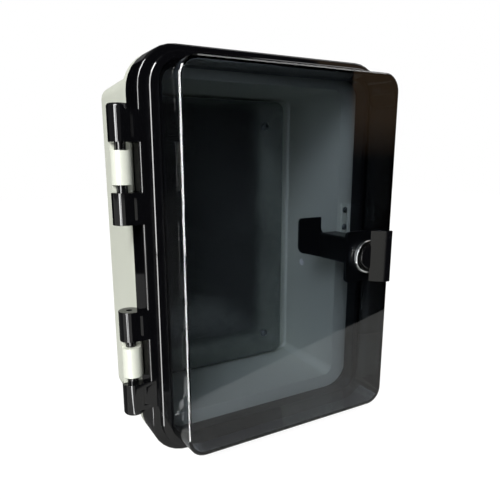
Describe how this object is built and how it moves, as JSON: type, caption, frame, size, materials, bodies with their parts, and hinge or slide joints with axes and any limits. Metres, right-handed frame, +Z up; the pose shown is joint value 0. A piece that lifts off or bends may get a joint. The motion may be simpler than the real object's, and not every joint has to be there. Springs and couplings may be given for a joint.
{
  "type": "hinged enclosure",
  "caption": "Upright wall box with a grey base, a black hinged door frame holding a dished smoked cover, a turn lock and an inner mounting plate.",
  "frame": {"origin": "centre of the wall fixing pattern, on the rear face of the base", "axes": "+X to the right as seen from the front, +Y to the rear (into the wall), +Z up"},
  "size_m": [0.2716, 0.176, 0.35],
  "materials": {
    "grey_polycarbonate": "satin moulded",
    "black_polycarbonate": "high gloss moulded",
    "smoked_polycarbonate": "transparent high gloss",
    "black_rubber": "matt",
    "zinc_steel": "zinc plated",
    "chrome": "polished",
    "brass": "turned"
  },
  "bodies": {
    "base": {"base_shell": "grey_polycarbonate", "wall_mount_inserts": "brass", "plate_inserts": "brass", "mounting_plate": "zinc_steel", "plate_screws": "zinc_steel", "upper_hinge_pin": "zinc_steel", "lower_hinge_pin": "zinc_steel", "lock_keeper": "grey_polycarbonate", "keeper_screws": "zinc_steel"},
    "door": {"door_frame": "black_polycarbonate", "door_gasket": "black_rubber", "smoked_cover": "smoked_polycarbonate", "cover_seal": "black_rubber", "cover_retainer": "black_polycarbonate", "retainer_screws": "zinc_steel", "lock_case": "black_polycarbonate", "lock_bezel": "chrome", "lock_seal": "black_rubber"},
    "lock": {"lock_handle": "black_polycarbonate", "lock_spindle": "zinc_steel", "lock_cam": "black_polycarbonate", "cam_screw": "zinc_steel"}
  },
  "joints": [
    {"name": "door_hinge", "type": "hinge", "parent": "base", "child": "door", "pos_m": [-0.1266, -0.1134, 0], "axis": [0, 0, -1], "range_deg": [0, 175]},
    {"name": "lock_turn", "type": "hinge", "parent": "door", "child": "lock", "pos_m": [0.091, -0.16, -0.0035], "axis": [0, 1, 0], "range_deg": [0, 90]}
  ]
}
